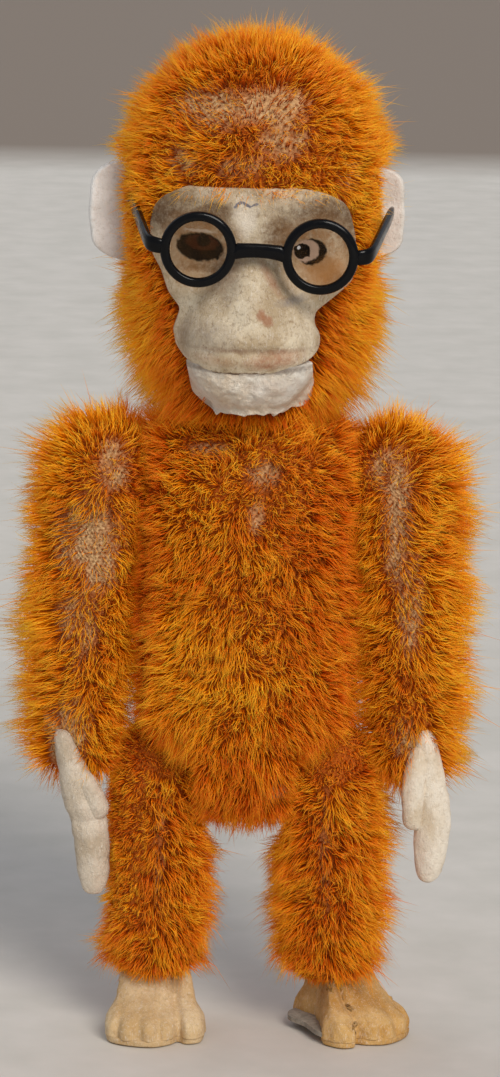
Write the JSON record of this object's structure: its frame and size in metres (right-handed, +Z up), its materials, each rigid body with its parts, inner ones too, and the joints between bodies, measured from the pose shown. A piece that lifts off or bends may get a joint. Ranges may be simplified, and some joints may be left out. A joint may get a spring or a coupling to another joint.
{
  "type": "jointed toy monkey",
  "caption": "Small jointed mohair toy monkey with felt face, ears, hands and feet and round black glasses; neck, arms and legs turn on disc joints.",
  "frame": {"origin": "on the ground at the middle of the toy's outline, front to back and side to side", "axes": "+Z up, the toy faces -Y, its own left side is +X"},
  "size_m": [0.0503, 0.0349, 0.1225],
  "materials": {
    "mohair": "orange mohair pile on woven backing",
    "wood_wool": "packed fine wood wool",
    "cream_felt": "pressed wool felt, matt, worn",
    "tan_felt": "pressed wool felt, matt",
    "card": "plain grey board",
    "hardboard": "pressed fibre board",
    "steel": "plain steel washer",
    "steel_wire": "bright half-round wire",
    "black_plastic": "glossy black moulding",
    "clear_lens": "clear moulded lens",
    "thread": "cotton thread"
  },
  "bodies": {
    "torso": {"closing_stitches": "thread", "hip_left_disc_torso": "hardboard", "hip_left_washer_torso": "steel", "hip_right_disc_torso": "hardboard", "hip_right_washer_torso": "steel", "neck_disc_torso": "hardboard", "neck_washer_torso": "steel", "shoulder_left_disc_torso": "hardboard", "shoulder_left_washer_torso": "steel", "shoulder_right_disc_torso": "hardboard", "shoulder_right_washer_torso": "steel", "torso_cover": "mohair", "torso_stuffing": "wood_wool"},
    "head": {"chin_felt": "cream_felt", "ear_left": "cream_felt", "ear_right": "cream_felt", "face_mask": "cream_felt", "head_cover": "mohair", "head_stuffing": "wood_wool", "neck_disc": "hardboard", "neck_pin": "steel_wire", "neck_washer": "steel"},
    "glasses": {"glasses_frame": "black_plastic", "lens_left": "clear_lens", "lens_right": "clear_lens"},
    "arm_left": {"arm_left_cover": "mohair", "arm_left_stuffing": "wood_wool", "hand_left": "cream_felt", "shoulder_left_disc": "hardboard", "shoulder_left_pin": "steel_wire", "shoulder_left_washer": "steel"},
    "arm_right": {"arm_right_cover": "mohair", "arm_right_stuffing": "wood_wool", "hand_right": "cream_felt", "shoulder_right_disc": "hardboard", "shoulder_right_pin": "steel_wire", "shoulder_right_washer": "steel"},
    "leg_left": {"foot_left_card": "card", "foot_left_sole": "tan_felt", "foot_left_upper": "tan_felt", "hip_left_disc": "hardboard", "hip_left_pin": "steel_wire", "hip_left_washer": "steel", "leg_left_cover": "mohair", "leg_left_stuffing": "wood_wool"},
    "leg_right": {"foot_right_card": "card", "foot_right_sole": "tan_felt", "foot_right_upper": "tan_felt", "hip_right_disc": "hardboard", "hip_right_pin": "steel_wire", "hip_right_washer": "steel", "leg_right_cover": "mohair", "leg_right_stuffing": "wood_wool"}
  },
  "joints": [
    {"name": "neck_turn", "type": "hinge", "parent": "torso", "child": "head", "pos_m": [0, 0.0016, 0.07785], "axis": [0, 0, 1], "continuous": true},
    {"name": "arm_left_swing", "type": "hinge", "parent": "torso", "child": "arm_left", "pos_m": [0.01285, 0.0016, 0.0703], "axis": [-1, 0, 0], "range_deg": [-100, 100]},
    {"name": "arm_right_swing", "type": "hinge", "parent": "torso", "child": "arm_right", "pos_m": [-0.01285, 0.0016, 0.0703], "axis": [-1, 0, 0], "range_deg": [-100, 100]},
    {"name": "leg_left_swing", "type": "hinge", "parent": "torso", "child": "leg_left", "pos_m": [0.0055, 0.0016, 0.0325], "axis": [-1, 0, 0], "range_deg": [-80, 90]},
    {"name": "leg_right_swing", "type": "hinge", "parent": "torso", "child": "leg_right", "pos_m": [-0.0055, 0.0016, 0.0325], "axis": [-1, 0, 0], "range_deg": [-80, 90]},
    {"name": "glasses_pull", "type": "slide", "parent": "head", "child": "glasses", "axis": [0, -1, 0], "range_m": [0, 0.015]}
  ]
}
